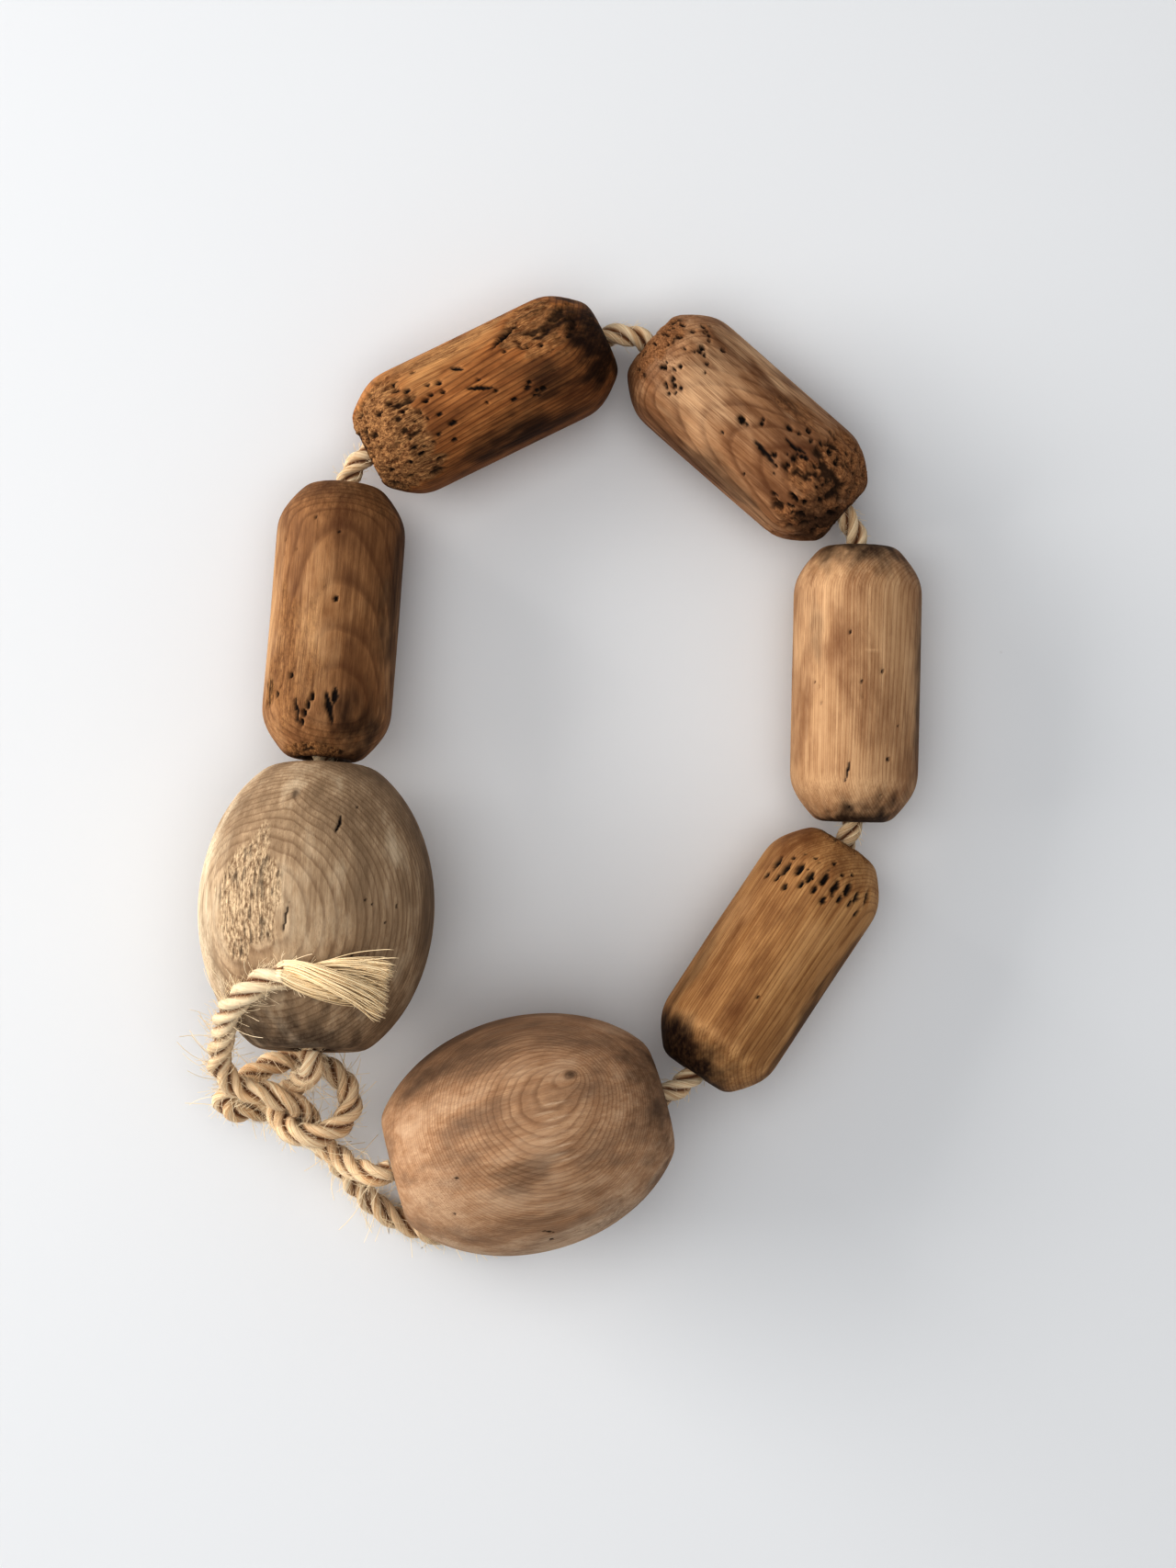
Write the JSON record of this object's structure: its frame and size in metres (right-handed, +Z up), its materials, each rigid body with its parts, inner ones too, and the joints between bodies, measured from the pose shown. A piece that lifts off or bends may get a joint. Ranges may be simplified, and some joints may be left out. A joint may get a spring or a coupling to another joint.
{
  "type": "net float string",
  "caption": "Loop of turned wooden net floats, cylinders and eggs, threaded on a knotted three-strand natural rope with one frayed end.",
  "frame": {"origin": "middle of the floats' box in plan, on the plane that the string lies on", "axes": "+Z up; +Y from the knot end of the loop towards the two top floats; +X from the left float towards the right float"},
  "size_m": [0.421, 0.5643, 0.156],
  "materials": {
    "float_wood": "weathered brown turned wood with worm holes, worn smooth",
    "egg_wood": "weathered grey-tan turned wood, dry and worn",
    "rope": "pale straw natural fibre, three strands, hairy",
    "frayed_rope": "opened pale straw fibres"
  },
  "bodies": {
    "rope": {"rope_through_floats": "rope", "rope_lower_end": "rope", "rope_upper_end": "rope", "rope_frayed_end": "frayed_rope"},
    "egg_float_left_body": {"egg_float_left": "egg_wood"},
    "float_left_body": {"float_left": "float_wood"},
    "float_top_left_body": {"float_top_left": "float_wood"},
    "float_top_right_body": {"float_top_right": "float_wood"},
    "float_right_body": {"float_right": "float_wood"},
    "float_bottom_right_body": {"float_bottom_right": "float_wood"},
    "egg_float_bottom_body": {"egg_float_bottom": "egg_wood"}
  },
  "joints": [
    {"name": "egg_float_left_spin", "type": "hinge", "parent": "rope", "child": "egg_float_left_body", "pos_m": [-0.14247, -0.079, 0.06876], "axis": [0.0201, 0.9846, -0.1736], "continuous": true},
    {"name": "float_left_spin", "type": "hinge", "parent": "rope", "child": "float_left_body", "pos_m": [-0.13496, 0.087, 0.04338], "axis": [0.0697, 0.9921, -0.1045], "continuous": true},
    {"name": "float_top_left_spin", "type": "hinge", "parent": "rope", "child": "float_top_left_body", "pos_m": [-0.04662, 0.2212, 0.038], "axis": [0.8971, 0.4418, 0], "continuous": true},
    {"name": "float_top_right_spin", "type": "hinge", "parent": "rope", "child": "float_top_right_body", "pos_m": [0.10742, 0.20169, 0.038], "axis": [0.7516, -0.6596, 0], "continuous": true},
    {"name": "float_right_spin", "type": "hinge", "parent": "rope", "child": "float_right_body", "pos_m": [0.17125, 0.05112, 0.038], "axis": [-0.0228, -0.9997, 0], "continuous": true},
    {"name": "float_bottom_right_spin", "type": "hinge", "parent": "rope", "child": "float_bottom_right_body", "pos_m": [0.12029, -0.11056, 0.04236], "axis": [-0.5561, -0.8265, 0.0872], "continuous": true},
    {"name": "egg_float_bottom_spin", "type": "hinge", "parent": "rope", "child": "egg_float_bottom_body", "pos_m": [-0.02084, -0.20925, 0.06751], "axis": [-0.9638, -0.2521, 0.0872], "continuous": true}
  ]
}
